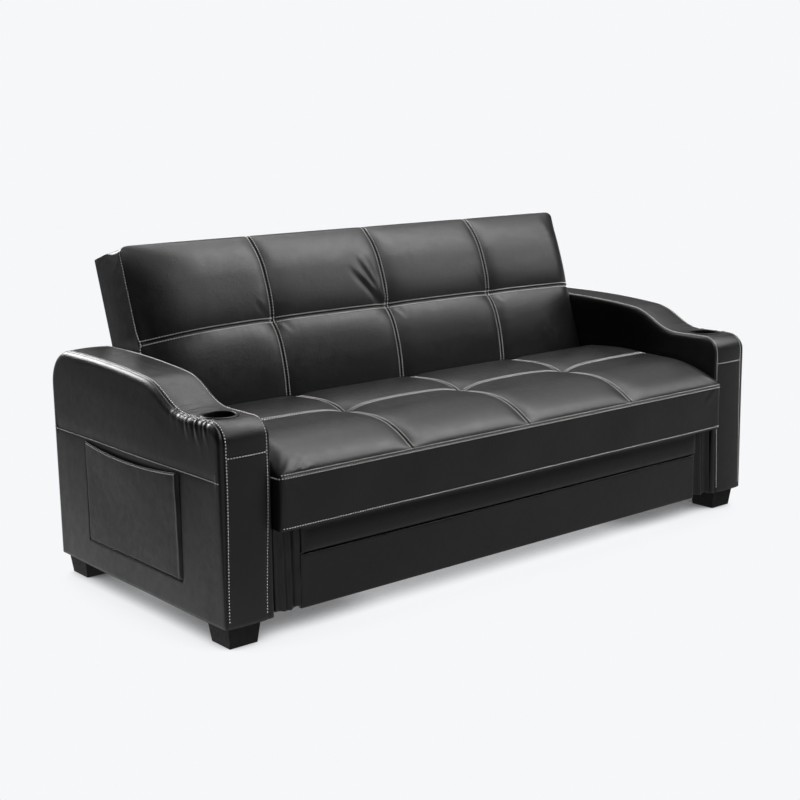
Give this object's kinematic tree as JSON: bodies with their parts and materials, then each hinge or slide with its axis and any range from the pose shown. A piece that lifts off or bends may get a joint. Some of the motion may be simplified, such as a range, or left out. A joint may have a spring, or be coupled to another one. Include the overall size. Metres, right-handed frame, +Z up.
{
  "type": "futon sofa bed",
  "caption": "Three-seat futon sofa bed, tufted black imitation leather: pull-out seat, fold-flat back, cup holders in curved arms, side pockets, block feet.",
  "frame": {"origin": "on the floor, under the middle of the sofa's outline: centred between the arms' outer faces and between the seat cushion's front and the arms' rear", "axes": "+X from the left arm to the right arm as seen from the front, +Y from the front to the back, +Z up; millimetre model packed in metres"},
  "size_m": [2.061, 0.917, 0.9511],
  "materials": {
    "leather": "semi-gloss black imitation leather, fine pebble grain",
    "thin_leather": "thin unpadded black imitation leather",
    "backing_fabric": "matte black non-woven dust cloth",
    "stitching": "off-white twisted thread",
    "timber": "unfinished pine and plywood",
    "black_plastic": "moulded black plastic, satin",
    "foot_plastic": "moulded black plastic block",
    "steel": "zinc-plated pressed steel"
  },
  "bodies": {
    "base": {"left_arm_cover": "leather", "left_arm_inner_panel": "timber", "left_arm_outer_panel": "timber", "left_arm_front_post": "timber", "left_arm_rear_post": "timber", "left_arm_base_board": "timber", "left_cup_holder": "black_plastic", "left_side_pocket": "thin_leather", "left_front_foot": "foot_plastic", "left_rear_foot": "foot_plastic", "right_arm_cover": "leather", "right_arm_inner_panel": "timber", "right_arm_outer_panel": "timber", "right_arm_front_post": "timber", "right_arm_rear_post": "timber", "right_arm_base_board": "timber", "right_cup_holder": "black_plastic", "right_side_pocket": "thin_leather", "right_front_foot": "foot_plastic", "right_rear_foot": "foot_plastic", "rear_panel": "leather", "middle_crossbeam": "timber", "left_slide_rail": "steel", "right_slide_rail": "steel"},
    "carriage": {"front_board": "timber", "rear_cross_rail": "timber", "caster_rail": "timber", "front_panel": "leather", "front_rail": "leather", "left_side_board": "timber", "left_slide_bar": "steel", "left_side_flap": "thin_leather", "left_caster_fork": "steel", "left_caster_axle": "steel", "left_hinge_seat_plate": "steel", "left_hinge_pin": "steel", "right_side_board": "timber", "right_slide_bar": "steel", "right_side_flap": "thin_leather", "right_caster_fork": "steel", "right_caster_axle": "steel", "right_hinge_seat_plate": "steel", "right_hinge_pin": "steel", "seat_front_rail": "timber", "seat_rear_rail": "timber", "seat_left_rail": "timber", "seat_right_rail": "timber", "seat_deck": "timber", "seat_cushion": "leather"},
    "back": {"back_cushion": "leather", "back_bottom_rail": "timber", "back_top_rail": "timber", "back_left_stile": "timber", "back_right_stile": "timber", "back_centre_stile": "timber", "back_rear_cover": "backing_fabric", "left_hinge_back_plate": "steel", "right_hinge_back_plate": "steel"},
    "left_wheel": {"left_caster_wheel": "black_plastic"},
    "right_wheel": {"right_caster_wheel": "black_plastic"}
  },
  "joints": [
    {"name": "seat_slide", "type": "slide", "parent": "base", "child": "carriage", "axis": [0, -1, 0], "range_m": [0, 0.25]},
    {"name": "back_recline", "type": "hinge", "parent": "carriage", "child": "back", "pos_m": [0, 0.1695, 0.43], "axis": [-1, 0, 0], "range_deg": [0, 71.8]},
    {"name": "left_wheel_roll", "type": "hinge", "parent": "carriage", "child": "left_wheel", "pos_m": [-0.6, -0.1965, 0.025], "axis": [1, 0, 0], "continuous": true},
    {"name": "right_wheel_roll", "type": "hinge", "parent": "carriage", "child": "right_wheel", "pos_m": [0.6, -0.1965, 0.025], "axis": [1, 0, 0], "continuous": true}
  ],
  "couplings": [
    {"joint": "left_wheel_roll", "follows": "seat_slide", "rad_per_m": 40},
    {"joint": "right_wheel_roll", "follows": "seat_slide", "rad_per_m": 40}
  ]
}
